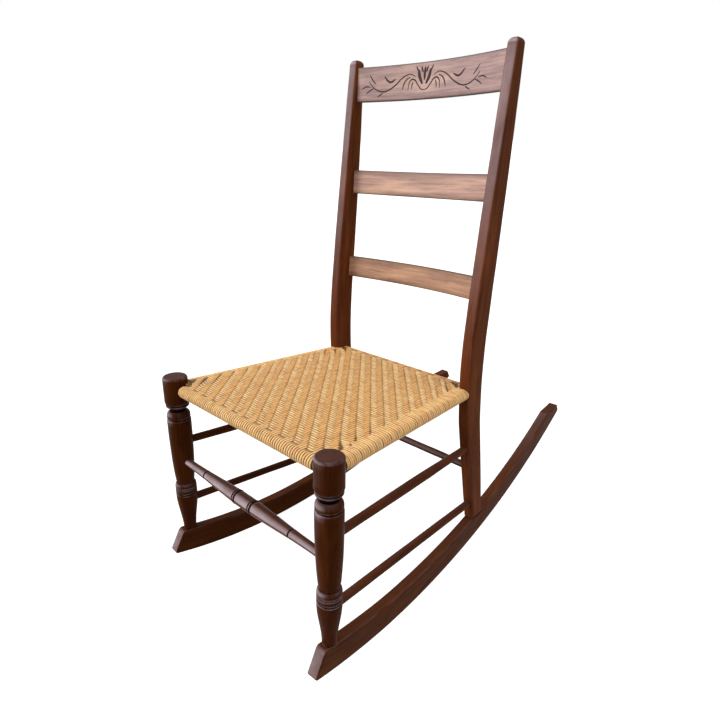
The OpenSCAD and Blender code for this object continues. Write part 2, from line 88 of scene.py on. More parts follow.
class ChairSizes(PropertyGroup):
    front_post_h: length("Front post height", "Flat tops of the front posts", 0.391)
    front_post_r: length("Front post radius", "Thick block at the top of a front post", 0.022)
    front_x: length("Front post place", "From the chair's middle to a front post's axis", 0.199)
    foot_r: length("Foot radius", "Turned foot where it meets the rocker", 0.012)
    neck_h: length("Neck height", "Neck under the top block", 0.326)
    neck_r: length("Neck radius", "Neck under the top block", 0.0134)
    shaft_r: length("Shaft radius", "Shaft where it is fullest", 0.0214)
    low_ring_h: length("Lower ring height", "Middle of the lower ring", 0.162)
    low_ring_len: length("Lower ring length", "Lower ring along the post", 0.017)
    low_ring_r: length("Lower ring radius", "Lower ring and the foot's top", 0.0198)
    waist_r: length("Waist radius", "Waist above the lower ring", 0.0152)
    ring_step: length("Ring step", "How much smaller the upper ring is than the top block", 0.0012)
    groove_d: length("Groove depth", "Grooves turned beside the rings", 0.0018)
    top_round: length("Top rounding", "Rounding round a flat top", 0.0042)
    back_post_h: length("Back post height", "Tips of the back posts", 0.943)
    back_post_w: length("Back post width", "Back post at the seat", 0.0238)
    back_post_w_top: length("Back post top width", "Back post under its tip", 0.022)
    back_gap: length("Back gap", "Clear width between the back posts at the seat", 0.318)
    post_depth_foot: length("Foot depth", "Back post at its foot", 0.0305)
    post_depth_bend: length("Bend depth", "Back post at the bend", 0.0465)
    post_depth_top: length("Tip depth", "Back post under its tip", 0.022)
    bend_h: length("Bend height", "Middle of the bend", 0.392)
    bend_soft: length("Bend length", "Length over which the post turns", 0.1)
    leg_rake: angle("Leg rake", "Backward rake below the bend", 10.9)
    back_rake: angle("Back rake", "Backward rake above the bend", 7.0)
    leg_splay: angle("Leg splay", "Outward splay of the leg", 2.6)
    front_edge: length("Front edge rounding", "Front edges of a back post", 0.0052)
    rear_edge: length("Rear edge rounding", "Rear edges of a back post", 0.0028)
    tip_round: length("Tip rounding", "Height of the rounded tip of a back post", 0.009)
    seat_depth: length("Seat depth", "From the front posts' axes to the back posts' front faces", 0.3675)
    front_rail_h: length("Front rail height", "Axis of the front rail", 0.3675)
    seat_fall: angle("Seat fall", "Fall of the seat from front to back", 1.7)
    slat_t: length("Slat thickness", "Thickness of the three slats", 0.008)
    slat_bow: length("Slat bow", "Backward bow of a slat at its middle", 0.02)
    slat_set: length("Slat set", "From a post's rear face to a slat's middle, at the bend", 0.0105)
    slat_set_top: length("Tip slat set", "From a post's rear face to a slat's middle, at the tip", 0.013)
    slat_edge: length("Slat edge rounding", "Long edges of a slat", 0.0024)
    crest_drop: length("Crest drop", "From the tips down to the crest slat", 0.014)
    crest_h: length("Crest height", "Crest slat from edge to edge", 0.062)
    slat_dirt: share("Slat dirt", "Dirt along the long edges of the slats", 0.45)
    carving_x: length("Carving place", "From the crest's middle to its ornament's middle", -0.0135)
    carving_w: FloatProperty(name="Carving width", description="Width of the cuts over the listed width",
                             default=1.6)
    full_dark: length("Dark depth", "Depth at which the carving is darkest", 0.0011)
    upper_space: length("Upper space", "Between crest slat and middle slat", 0.126)
    middle_h: length("Middle slat height", "Middle slat from edge to edge", 0.046)
    lower_space: length("Lower space", "Between middle slat and lower slat", 0.128)
    lower_h: length("Lower slat height", "Lower slat from edge to edge", 0.043)
    tenon_r: length("Rung end radius", "Rung where it enters a post", 0.0075)
    upper_rung_r: length("Upper rung radius", "Upper side rung at its middle", 0.0085)
    lower_rung_r: length("Lower rung radius", "Lower side rung at its middle", 0.0077)
    upper_rung_front_h: length("Upper rung front", "Upper side rungs at the front posts", 0.259)
    upper_rung_back_h: length("Upper rung back", "Upper side rungs at the back posts", 0.236)
    lower_rung_front_h: length("Lower rung front", "Lower side rungs at the front posts", 0.134)
    lower_rung_back_h: length("Lower rung back", "Lower side rungs at the back posts", 0.104)
    front_rung_h: length("Front rung height", "Axis of the turned front rung", 0.222)
    front_rung_r: length("Front rung radius", "Front rung at its middle", 0.0126)
    outer_groove: length("Outer groove", "From the front rung's middle to its outer grooves", 0.116)
    inner_bead: length("Inner bead", "From the front rung's middle to its inner beads", 0.0215)
    bead_half: length("Bead half", "Half the width of an inner bead", 0.0028)
    rung_groove: length("Rung groove", "Depth of the front rung's grooves", 0.0019)
    back_rung_h: length("Back rung height", "Axis of the back rung", 0.184)
    back_rung_r: length("Back rung radius", "Back rung at its middle", 0.0076)
    rocker_t: length("Rocker thickness", "Thickness of a rocker", 0.02)
    rocker_h: length("Rocker height", "From a rocker's sole to its top edge", 0.047)
    rocker_edge: length("Rocker edge rounding", "Long edges of a rocker", 0.0022)
    rest_reach: length("Rest reach", "From the front posts to an upright chair's lowest point", 0.198)
    sole_front_r: length("Front sole radius", "Sole in front of the lowest point", 0.976)
    sole_rear_r: length("Rear sole radius", "Sole behind the lowest point", 1.241)
    lean_back: angle("Lean", "Backward lean of the whole chair at rest", 6.0)
    nose_reach: length("Nose reach", "Rocker's nose in front of the front posts' axes", 0.041)
    nose_slope: length("Nose slope", "Backward slope of the nose over the rocker's height", 0.012)
    nose_round: length("Nose rounding", "Rounding of the nose's top and bottom", 0.0065)
    tail_reach: length("Tail reach", "Rocker's tail behind the front posts' axes", 0.83)
    tail_square: length("Tail end height", "Height of the square end of the tail", 0.0235)
    tail_cut: length("Tail cut", "Length of the slope on top of the tail", 0.045)
    shift_y: length("Shift", "Moves the middle of the footprint to the origin", 0.403379)
    lift_z: length("Lift", "Lifts the leant chair onto the floor", 0.0274512)


class CaneSizes(PropertyGroup):
    roll_r: length("Roll radius", "Outer radius of the seat's rolled edges", 0.0106)
    strand_t: length("Strand thickness", "Thickness of a strand of cane", 0.0013)
    long_pitch: length("Long strand spacing", "Strands that run front to back", 0.00488)
    cross_pitch: length("Cross strand spacing", "Strands that run side to side", 0.0055)
    long_half: IntProperty(name="Long strands a side", description="Strands on each side of the middle one",
                           default=39)
    near_clear: length("Left roll", "From the left rail's axis to the first crossing", 0.0145)
    far_clear: length("Right roll", "From the right rail's axis to the first crossing", 0.007)
    front_clear: length("Front roll", "From the front rail's axis to the first crossing", 0.0095)
    back_clear: length("Back roll", "From the back rail's axis to the last crossing", 0.005)
    cover: share("Cover", "Width of a strand over the spacing of the strands", 0.82)


class ChairColours(PropertyGroup):
    front_post_wood: colour("Front post wood", "Varnish on the front posts", (0.062, 0.0145, 0.003))
    back_post_wood: colour("Back post wood", "Varnish on the back posts", (0.135, 0.036, 0.011))
    # The three slats are one wood under worn varnish; their colours also hold a painted reflection of the
    # light from the front left, lightest on the middle slat and bluish on the crest.
    crest_slat_wood: colour("Crest wood", "Worn varnish on the crest slat", (0.53, 0.345, 0.315))
    middle_slat_wood: colour("Middle slat wood", "Worn varnish on the middle slat", (0.63, 0.385, 0.3))
    lower_slat_wood: colour("Lower slat wood", "Worn varnish on the lower slat", (0.52, 0.295, 0.195))
    front_rung_wood: colour("Front rung wood", "Varnish on the front rung", (0.1, 0.031, 0.014))
    side_rung_wood: colour("Rung wood", "Varnish on the other rungs", (0.085, 0.024, 0.0095))
    rocker_wood: colour("Rocker wood", "Varnish on the rockers", (0.09, 0.024, 0.006))
    # Bluish grey of worn edges; on ridges and flat tops it is also a painted reflection of the sky.
    rubbed_and_painted_sheen: colour("Rubbed", "Bluish grey where edges are rubbed", (0.2, 0.165, 0.185))
    # Painted highlight: a light mauve where the varnish faces the light from the front left.
    painted_highlight: colour("Bloom", "Pale mauve bloom on faded varnish", (0.5, 0.4, 0.43))
    # Direction of the light whose highlight is painted into the varnish.
    painted_light_side: FloatVectorProperty(name="Faded side", description="Where the fading light comes from",
                                    default=(-0.6, -0.78, 0.2), size=3, subtype="DIRECTION")
    bare_wood: colour("Bare rail", "Unfinished seat rails inside the cane", (0.3, 0.17, 0.08))
    cane_light: colour("Light cane", "Lightest strands", (1.0, 0.7, 0.33))
    cane_mid: colour("Cane", "Most strands", (1.0, 0.52, 0.14))
    cane_red: colour("Red cane", "Stretches with a pinkish brown skin", (0.8, 0.34, 0.13))
    cane_gap: colour("Gaps in the cane", "Dirt and shade between the strands", (0.12, 0.045, 0.012))
    floor: colour("Floor", "Floor colour", (0.35, 0.35, 0.35))


class ChairView(PropertyGroup):
    camera_place: FloatVectorProperty(name="Camera place", description="Camera beside the upright chair",
                                      default=(0.6499, -0.4336, 0.7517), size=3, unit="LENGTH", subtype="XYZ")
    azimuth: angle("Azimuth", "Turn of the view round the upright chair", 42.65)
    elevation: angle("Elevation", "Downward tilt of the view, from the upright chair", 19.91)
    roll: angle("Roll", "Roll of the camera", 1.14)
    focal: FloatProperty(name="Focal length", description="Over a 36 mm frame, in mm", default=26.965)
    key: FloatProperty(name="Key light", description="Light from the front left", default=2.1)
    top: FloatProperty(name="Top light", description="Light from above", default=1.2)
    fill: FloatProperty(name="Fill light", description="Light from all round", default=0.45)
    floor_glow: FloatProperty(name="Floor glow", description="Whiteness that the camera sees on the floor",
                              default=0.95)


# Places

def at_rest(points, s):
    """Upright places to places on the chair at rest."""
    points = np.asarray(points, float)
    x, y, z = points[..., 0], points[..., 1], points[..., 2]
    cos, sin = math.cos(s.lean_back), math.sin(s.lean_back)
    return np.stack([x, y * cos + z * sin - s.shift_y, -y * sin + z * cos + s.lift_z], -1)


def post_front(z, s):
    """Front face of a back post at a height: two straight rakes joined by a soft bend."""
    u = np.asarray(z, float) - s.bend_h
    b, l = math.tan(s.back_rake), math.tan(s.leg_rake)
    return s.seat_depth + (b - l) / 2 * u + (b + l) / 2 * (np.sqrt(u * u + s.bend_soft ** 2) - s.bend_soft)


def up_back(z, s):
    """0 at the bend, 1 under the tip."""
    return (z - s.bend_h) / (s.back_post_h - s.tip_round - s.bend_h)


def post_depth(z, s):
    z = np.asarray(z, float)
    down = (s.bend_h - z) / (s.bend_h - s.rocker_h)
    end = np.where(z < s.bend_h, s.post_depth_foot, s.post_depth_top)
    return s.post_depth_bend - (s.post_depth_bend - end) * np.where(z < s.bend_h, down, up_back(z, s)) ** 2


def post_w(z, s):
    return s.back_post_w - (s.back_post_w - s.back_post_w_top) * np.maximum(0, up_back(z, s))


def back_x(s):
    return (s.back_gap + s.back_post_w) / 2


def post_x(z, s):
    return back_x(s) + np.maximum(0, s.bend_h - s.bend_soft - z) * math.tan(s.leg_splay)


def post_mid(z, s):
    return post_front(z, s) + post_depth(z, s) / 2


def post_rear(z, s):
    return post_front(z, s) + post_depth(z, s)


def back_point(z, s):
    """Middle of the left back post at a height."""
    return np.array([float(post_x(z, s)), float(post_mid(z, s)), z])


def slat_line(z, s):
    """Middle of a slat's thickness at a post, at a height."""
    return float(post_rear(z, s)) - s.slat_set - (s.slat_set_top - s.slat_set) * up_back(z, s) ** 2


def sole_r(place, s):
    return np.where(np.asarray(place) < s.rest_reach, s.sole_front_r, s.sole_rear_r)


def top_edge(place, s):
    """Height of a rocker's top edge at a place along it."""
    r = sole_r(place, s)
    return r - np.sqrt((r - s.rocker_h) ** 2 - (place - s.rest_reach) ** 2)


def back_foot(s):
    """Where the left back post meets its rocker's top edge."""
    h = float(top_edge(post_mid(s.rocker_h, s), s))
    h = float(top_edge(post_mid(h, s), s))
    return back_point(h, s)


def rocker_turn(s):
    """Turn of the left rocker towards the back foot, which stands farther in than the front one."""
    foot = back_foot(s)
    return math.atan((s.front_x - foot[0]) / foot[1])


def top_of_rocker(y, s):
    return top_edge(y / math.cos(rocker_turn(s)), s)


def rocker_point(place, h, across, s):
    """A point of the left rocker: place along the sole, height over it, and place across it."""
    r = sole_r(place, s)
    a = np.arcsin((place - s.rest_reach) / r)
    out, up = s.rest_reach + (r - h) * np.sin(a), r - (r - h) * np.cos(a)
    t = rocker_turn(s)
    return np.stack([s.front_x + across * math.cos(t) - out * math.sin(t),
                     across * math.sin(t) + out * math.cos(t), up], -1)


def seat_place(x, y, n, s):
    """A point of the seat: x and y in its sloping plane, n over the rails' axes."""
    cos, sin = math.cos(s.seat_fall), math.sin(s.seat_fall)
    return np.stack([x, y * cos + n * sin, s.front_rail_h - y * sin + n * cos], -1)


def back_rail(s):
    """Place of the back rail's axis in the seat's plane."""
    h = s.front_rail_h - (s.seat_depth + s.post_depth_bend / 2) * math.tan(s.seat_fall)
    return float(post_mid(h, s)) / math.cos(s.seat_fall)


# Mesh making

def numbers(items, word, width, kind=np.float32):
    """One property of all of a mesh's points or edges, a row for each."""
    out = np.empty(len(items) * width, kind)
    items.foreach_get(word, out)
    return out.reshape(-1, width)


def store(mesh, name, values):
    """Stores a number for each of a mesh's points."""
    kept = mesh.attributes.new(name, "FLOAT", "POINT")
    kept.data.foreach_set("value", np.asarray(values, np.float32).ravel())


def new_piece(name, points, faces, finish, s, slot, nodes, grain, smooth, **marks):
    """Makes one piece of the chair from upright points, and lets it stand for its CAD nodes."""
    mesh = bpy.data.meshes.new(name)
    mesh.from_pydata(at_rest(points, s).tolist(), [], faces)
    mesh.validate()
    mesh.shade_smooth()
    mesh.set_sharp_from_angle(angle=math.radians(smooth))
    start = np.array((len(name) * 0.37, sum(map(ord, name)) * 0.013, len(name) * 0.11))
    grained = mesh.attributes.new("grain", "FLOAT_VECTOR", "POINT")
    grained.data.foreach_set("vector", (grain + start).astype(np.float32).ravel())
    for word, values in marks.items():
        store(mesh, word, values)
    mesh.materials.append(finish)
    piece = bpy.data.objects.new(name, mesh)
    bpy.context.scene.collection.objects.link(piece)
    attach(piece, "root")
    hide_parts(*nodes)
    return piece


def mark_edges(mesh):
    """Stores how much each place stands out or lies back, from 1 to -1: ridges are worn, with a painted
    highlight, and hollows darken.
    """
    sharpest = 250
    place, normal = numbers(mesh.vertices, "co", 3), numbers(mesh.vertex_normals, "vector", 3)
    a, b = numbers(mesh.edges, "vertices", 2, np.int32).T
    step = place[b] - place[a]
    far = np.maximum((step ** 2).sum(1), 1e-12)
    bend, edges = np.zeros(len(place)), np.zeros(len(place))
    for end, way in ((a, -1), (b, 1)):
        np.add.at(bend, end, way * (normal[end] * step).sum(1) / far)
        np.add.at(edges, end, 1)
    store(mesh, "edge", np.clip(bend / np.maximum(edges, 1) / sharpest, -1, 1))


def roughen(mesh, depth, size, seed):
    """Moves the surface inwards by up to that depth, unevenly, as hand work and years of use do."""
    place, normal = numbers(mesh.vertices, "co", 3), numbers(mesh.vertex_normals, "vector", 3)
    offset = Vector((seed, 2 * seed, 3 * seed))
    wave = np.array([noise.noise(Vector(p) / size + offset) for p in place.tolist()], np.float32)
    place += normal * ((wave - 1) * depth / 2)[:, None]
    mesh.vertices.foreach_set("co", place.ravel())
    mesh.update()


def ring_faces(rings, n, close=False):
    """Faces of a skin over rings of n points, with flat ends unless it closes on itself."""
    faces = []
    for ring in range(rings if close else rings - 1):
        a, b = ring * n, ((ring + 1) % rings) * n
        faces += [(a + i, a + (i + 1) % n, b + (i + 1) % n, b + i) for i in range(n)]
    if not close:
        faces.append(tuple(range(n - 1, -1, -1)))
        faces.append(tuple((rings - 1) * n + i for i in range(n)))
    return faces


def skin(name, rings, finish, s, node, side, grain, depth=0.3 * MM, size=0.03, smooth=40, **marks):
    """A wooden piece from left-hand upright rings, for side 1, or mirrored to side -1."""
    points, faces = rings.reshape(-1, 3), ring_faces(*rings.shape[:2])
    if side < 0:
        points, faces = points * np.array([-1.0, 1.0, 1.0]), [face[::-1] for face in faces]
    piece = new_piece(name, points, faces, finish, s, "wood", [node], grain.reshape(-1, 3), smooth, **marks)
    roughen(piece.data, depth, size, side * 1.7)
    mark_edges(piece.data)


def pair(name, rings, finish, s, node, grain, **more):
    """The left and the right piece of a pair."""
    for word, side in SIDES:
        skin(name + "_" + word, rings, finish, s, node + "_" + word, side, grain, **more)


def turned(outline, sides=72):
    """Rings of a turned piece, from [radius, place along the axis]."""
    turn = np.arange(sides) * 2 * math.pi / sides
    r, h = np.asarray(outline, float).T
    return np.stack([r[:, None] * np.cos(turn), r[:, None] * np.sin(turn),
                     np.broadcast_to(h[:, None], (len(r), sides))], -1)


def along(rings, p, q):
    """Lays rings made round the z axis along the line from p to q."""
    p, q = np.asarray(p, float), np.asarray(q, float)
    w = (q - p) / np.linalg.norm(q - p)
    u = np.cross([0.0, 1.0, 0.0] if abs(w[1]) < 0.9 else [0.0, 0.0, 1.0], w)
    u /= np.linalg.norm(u)
    return p + rings[..., :1] * u + rings[..., 1:2] * np.cross(w, u) + rings[..., 2:] * w


def rounded_box(u0, u1, v0, v1, radii, arc, flat):
    """Outline of a rectangle with rounded corners, from low u, low v, anticlockwise, with arc points on
    each corner and flat steps on each side."""
    centres = [(u0, v0, 1, 1), (u1, v0, -1, 1), (u1, v1, -1, -1), (u0, v1, 1, -1)]
    corners = []
    for i, ((u, v, du, dv), r) in enumerate(zip(centres, radii)):
        turn = math.pi + i * math.pi / 2 + np.linspace(0, math.pi / 2, arc)
        corners.append(np.stack([u + du * r + r * np.cos(turn), v + dv * r + r * np.sin(turn)], -1))
    points = []
    for corner, after in zip(corners, corners[1:] + corners[:1]):
        p, q = corner[-1], after[0]
        points += [corner, p + (q - p) * (np.arange(1, flat) / flat)[:, None]]
    return np.concatenate(points)


# Finishes

class Nodes:
    """Adds and joins the nodes of a material or of the world."""

    def __init__(self, owner, end):
        owner.use_nodes = True
        self.owner, self.tree = owner, owner.node_tree
        self.tree.nodes.clear()
        self.end = self.add(end)

    def add(self, kind, inputs=None, **settings):
        node = self.tree.nodes.new("ShaderNode" + kind)
        for key, value in settings.items():
            setattr(node, key, value)
        for key, value in (inputs or {}).items():
            self.put(node.inputs[key], value)
        return node

    def put(self, socket, value):
        if isinstance(value, bpy.types.NodeSocket):
            self.tree.links.new(value, socket)
        elif isinstance(value, bpy.types.Node):
            self.tree.links.new(value.outputs[0], socket)
        else:
            socket.default_value = value

    def math(self, operation, a, b):
        return self.add("Math", {0: a, 1: b}, operation=operation).outputs[0]

    def seen(self):
        """1 where the camera sees it, straight, in a reflection or through something clear."""
        path = self.add("LightPath").outputs
        return self.math("MAXIMUM", self.math("MAXIMUM", path["Is Camera Ray"], path["Is Glossy Ray"]),
                         path["Is Transmission Ray"])


class Finish(Nodes):
    """The nodes of one material."""

    def __init__(self, name):
        super().__init__(bpy.data.materials.new(name), "OutputMaterial")
        self.surface = self.add("BsdfPrincipled")
        self.put(self.end.inputs[0], self.surface)

    def stored(self, name, kind="Fac"):
        return self.add("Attribute", attribute_name=name).outputs[kind]

    def noise(self, place, scale, detail, roughness=0.55, distortion=0.0):
        place = self.add("Mapping", {"Vector": place, "Scale": scale})
        return self.add("TexNoise", {"Vector": place, "Scale": 1.0, "Detail": detail,
                                     "Roughness": roughness, "Distortion": distortion}).outputs[0]

    def ramp(self, value, low, high, to_low=0.0, to_high=1.0):
        return self.add("MapRange", {0: value, 1: low, 2: high, 3: to_low, 4: to_high}).outputs[0]

    def times(self, a, b):
        return self.math("MULTIPLY", a, b)

    def mix(self, amount, a, b):
        return self.add("Mix", {0: amount, 6: a, 7: b}, data_type="RGBA").outputs[2]

    def done(self, base, roughness, relief, strength, depth):
        """Joins colour, roughness and relief to the surface, and hands over the material."""
        self.put(self.surface.inputs["Base Color"], base)
        self.put(self.surface.inputs["Roughness"], roughness)
        bump = self.add("Bump", {"Strength": strength, "Distance": depth, "Height": relief})
        self.put(self.surface.inputs["Normal"], bump)
        return self.owner


def rgba(rgb, by=1.0):
    """A colour for a node, darkened or lightened."""
    return (rgb[0] * by, rgb[1] * by, rgb[2] * by, 1.0)


def thin_varnish(rgb):
    """The same wood where its varnish is thin: lighter and warmer."""
    return (rgb[0] * 1.7, rgb[1] * 1.75, rgb[2] * 1.45, 1.0)


def varnished_wood(name, c, body, roughness, gloss, wear_and_painted_sheen, painted_highlight, low, high):
    """Old varnish over straight-grained wood: dark in hollows and cuts, worn on edges in a bluish grey that
    is partly a painted highlight, with a painted reflection of the sky on flat tops, and a painted highlight
    where it faces up to the light from the front left, more so from the height low to the height high."""
    f = Finish(name)
    grain, edge, cut = f.stored("grain", "Vector"), f.stored("edge"), f.stored("cut")
    clouds = f.noise(grain, (34, 34, 7), 3, 0.6, 0.4)
    bands = f.noise(grain, (210, 210, 9), 5, 0.62, 0.6)
    fibres = f.noise(grain, (1500, 1500, 40), 3, 0.6)
    pores = f.ramp(f.noise(grain, (2600, 2600, 120), 2, 0.5), 0.62, 0.74)
    patches = f.ramp(f.noise(grain, (60, 60, 30), 3), 0.35, 0.6)
    smudges = f.noise(grain, (55, 55, 25), 4, 0.6)
    base = f.mix(f.ramp(bands, 0.32, 0.6), rgba(body, 0.45), rgba(body))
    base = f.mix(f.ramp(clouds, 0.48, 0.74, 0.0, 0.8), base, thin_varnish(body))
    base = f.mix(f.ramp(fibres, 0.35, 0.7, 0.0, 0.4), base, rgba(body, 1.3))
    base = f.mix(f.times(pores, 0.5), base, rgba(body, 0.3))
    # Worn edges in a bluish grey that also paints the highlight on ridges and rings.
    base = f.mix(f.times(f.times(f.ramp(edge, 0.12, 0.5), patches), wear_and_painted_sheen), base, rgba(c.rubbed_and_painted_sheen))
    place = f.add("NewGeometry").outputs
    up = f.add("SeparateXYZ", {0: place["Normal"]}).outputs["Z"]
    height = f.add("SeparateXYZ", {0: place["Position"]}).outputs["Z"]
    facing = f.add("VectorMath", {0: place["Normal"], 1: c.painted_light_side}, operation="DOT_PRODUCT")
    # Painted highlight: faces turned up towards the light from the front left take a light mauve, more so
    # higher up.
    painted_highlight_mask = f.times(f.ramp(up, 0.09, 0.32), f.ramp(facing.outputs["Value"], 0.35, 0.85))
    painted_highlight_mask = f.times(painted_highlight_mask, f.ramp(height, low, high, 0.1 * painted_highlight, painted_highlight))
    painted_highlight_mask = f.times(painted_highlight_mask, f.ramp(smudges, 0.25, 0.65, 0.6, 1.15))
    base = f.mix(painted_highlight_mask, base, rgba(c.painted_highlight))
    # Painted reflection of the sky: flat tops turn bluish grey.
    base = f.mix(f.ramp(up, 0.8, 0.98, 0.0, 0.16 * wear_and_painted_sheen), base, rgba(c.rubbed_and_painted_sheen))
    base = f.mix(f.ramp(edge, -0.03, -0.25, 0.0, 0.97), base, rgba(body, 0.08))
    base = f.mix(f.ramp(cut, 0.02, 0.5, 0.0, 0.92), base, rgba(body, 0.14))
    f.surface.inputs["Specular IOR Level"].default_value = gloss
    f.surface.inputs["IOR"].default_value = 1.22
    return f.done(base, f.ramp(smudges, 0.3, 0.7, roughness - 0.06, roughness + 0.1),
                  f.math("ADD", bands, fibres), 0.22, 0.4 * MM)


# The varnish of each group of pieces: roughness, gloss, worn edges with a painted sheen, and painted
# highlight, and the heights between which the painted highlight grows
VARNISHES = {
    "front_post": (0.34, 0.05, 0.75, 0.5, -1.0, 0.0),
    "back_post": (0.4, 0.05, 0.3, 0.85, 0.45, 0.85),
    "crest_slat": (0.42, 0.12, 0.3, 0.9, 0.5, 0.95),
    "middle_slat": (0.42, 0.12, 0.3, 0.9, 0.5, 0.95),
    "lower_slat": (0.42, 0.12, 0.3, 0.9, 0.5, 0.95),
    "front_rung": (0.32, 0.15, 0.5, 0.95, -1.0, 0.0),
    "side_rung": (0.4, 0.05, 0.3, 0.35, -1.0, 0.0),
    "rocker": (0.42, 0.05, 0.25, 0.45, -1.0, 0.0),
}


def varnish(group, c):
    name, body = group + "_varnish", getattr(c, group + "_wood")
    return bpy.data.materials.get(name) or varnished_wood(name, c, body, *VARNISHES[group])


def bare_rail(c):
    """Unfinished straight-grained wood inside the cane."""
    f = Finish("bare_rail")
    fibres = f.noise(f.add("TexCoord").outputs["Object"], (60, 500, 500), 5, 0.6)
    base = f.mix(f.ramp(fibres, 0.3, 0.7), rgba(c.bare_wood, 0.6), rgba(c.bare_wood, 1.1))
    return f.done(base, 0.7, fibres, 0.3, 0.3 * MM)


def split_cane(c):
    """Glossy skin of split cane, with grime and painted shade in the gaps and on stretches that lie under.
    The grain is (across, strand number, along).
    """
    f = Finish("split_cane")
    grain, tone, dirt = f.stored("grain", "Vector"), f.stored("tone"), f.stored("dirt")
    stretches = f.noise(grain, (100, 31, 45), 3, 0.6)
    mottled = f.noise(grain, (300, 31, 90), 3, 0.6)
    fibres = f.noise(grain, (2600, 31, 30), 2, 0.5)
    # Strands differ at random in colour; the front roll is painted lighter, as a highlight.
    base = f.mix(tone, rgba(c.cane_light), rgba(c.cane_mid))
    base = f.mix(f.ramp(stretches, 0.48, 0.68, 0.0, 0.7), base, rgba(c.cane_red))
    base = f.mix(f.ramp(mottled, 0.4, 0.75, 0.0, 0.6), base, rgba(c.cane_red, 0.7))
    base = f.mix(f.ramp(fibres, 0.45, 0.75, 0.0, 0.35), base, rgba(c.cane_light))
    dirt = f.times(dirt, f.ramp(stretches, 0.3, 0.6, 0.7, 1.25))
    # Grime and painted shade between the strands and on stretches that lie under.
    base = f.mix(f.ramp(dirt, 0.05, 1.0, 0.0, 0.95), base, rgba(c.cane_gap))
    f.surface.inputs["Specular IOR Level"].default_value = 0.2
    return f.done(base, f.ramp(mottled, 0.3, 0.7, 0.36, 0.55), fibres, 0.3, 0.2 * MM)


# Turned work

def ease(p, q, n=12):
    """A turned S from p to q, which are [radius, height]."""
    i = np.arange(1, n + 1) / n
    return [(p[0] + (q[0] - p[0]) * (1 - math.cos(math.pi * t)) / 2, p[1] + (q[1] - p[1]) * t) for t in i]


def shoulder(p, q, n=8):
    """A turned quarter round from p to q."""
    i = np.arange(1, n + 1) / n * math.pi / 2
    return [(q[0] + (p[0] - q[0]) * math.cos(t), p[1] + (q[1] - p[1]) * math.sin(t)) for t in i]


def groove(r, h, d):
    """A turned groove of depth d at the height h."""
    return [(r, h - d), (r - d * 0.55, h - d * 0.5), (r - d, h), (r - d * 0.55, h + d * 0.5), (r, h + d)]


def front_post_outline(s):
    """Radius and height of a front post, from its foot to the middle of its flat top."""
    ring, low = s.front_post_r - s.ring_step, s.low_ring_r
    foot_h = float(top_of_rocker(0.0, s))
    foot_top = s.low_ring_h - s.low_ring_len / 2 - s.groove_d
    ring_top = s.low_ring_h + s.low_ring_len / 2 - 1 * MM
    waist_h, full_h = ring_top + 5 * MM, s.neck_h - 36 * MM
    block_h, top = s.neck_h + 17 * MM, s.front_post_h - s.top_round
    out = [(s.foot_r, foot_h - 6 * MM), (s.foot_r, foot_h + 2 * MM)]
    out += ease(out[-1], (low, foot_top - s.groove_d - 1 * MM), 24)
    out += groove(low, foot_top, s.groove_d)
    out += [(low, s.low_ring_h - 5 * MM), (low, s.low_ring_h - 2 * MM)]
    out += groove(low - 0.2 * MM, s.low_ring_h + 1 * MM, s.groove_d / 2)
    out += [(low - 0.2 * MM, ring_top - 2 * MM), (low - 0.5 * MM, ring_top)]
    out += shoulder(out[-1], (s.waist_r, waist_h))
    out += [(s.waist_r + (s.shaft_r - s.waist_r) * math.sin(math.pi / 2 * min(1, t)) ** 0.5,
             waist_h + (full_h - waist_h) * t) for t in (np.arange(1, 33) / 32) ** 1.5]
    out += [(s.shaft_r, s.neck_h - 29 * MM), (s.shaft_r, s.neck_h - 20 * MM)]
    out += groove(ring, s.neck_h - 16 * MM, s.groove_d)
    out += [(ring, s.neck_h - 12 * MM), (ring, s.neck_h - 10 * MM)]
    out += shoulder(out[-1], (s.neck_r, s.neck_h - 1.75 * MM))
    out += ease((s.neck_r, s.neck_h + 1.75 * MM), (ring, s.neck_h + 9 * MM))
    out += groove(ring, s.neck_h + 11.5 * MM, 0.8 * s.groove_d)
    out += [(s.front_post_r, block_h + (top - block_h) * t) for t in (0, 0.2, 0.4, 0.6, 0.8, 1)]
    out += shoulder((s.front_post_r, top), (s.front_post_r - s.top_round, s.front_post_h))
    out += [(r * s.front_post_r, s.front_post_h) for r in (0.7, 0.45, 0.2, 0.02)]
    return out


def front_rung_outline(s):
    """Radius and place along the front rung, from its right end to its left."""
    half = s.front_x - s.front_post_r

    def swell(t):
        return s.tenon_r + (s.front_rung_r - s.tenon_r) * math.cos(math.pi / 2 * min(1, t / half)) ** 2.4

    def run(p, reach, n, first=1):
        return [(swell(t), t) for t in p + reach * np.arange(first, n + 1) / n]

    end, out = half + RUNG_IN, s.outer_groove
    bead_from, bead_to = s.inner_bead - s.bead_half, s.inner_bead + s.bead_half
    bead_r = swell(s.inner_bead) + 0.3 * s.rung_groove
    outline = run(0, bead_from, 6, 0)[:-1]
    outline += groove(swell(bead_from), bead_from, s.rung_groove)
    outline += [(bead_r, s.inner_bead + t) for t in (-0.8 * MM, 0, 0.8 * MM)]
    outline += groove(swell(bead_to), bead_to, s.rung_groove)
    outline += run(bead_to, out - bead_to - 3 * MM, 12)
    outline += groove(swell(out), out, s.rung_groove)
    outline += run(out, end - out, 10)
    return [(r, -t) for r, t in outline[:0:-1]] + outline


def sink_feet(points, s):
    """Ends the upright points of the left posts on the rocker's top edge."""
    floor = top_of_rocker(points[..., 1], s) - 0.3 * MM
    points[..., 2] = np.maximum(points[..., 2], floor)
    return points


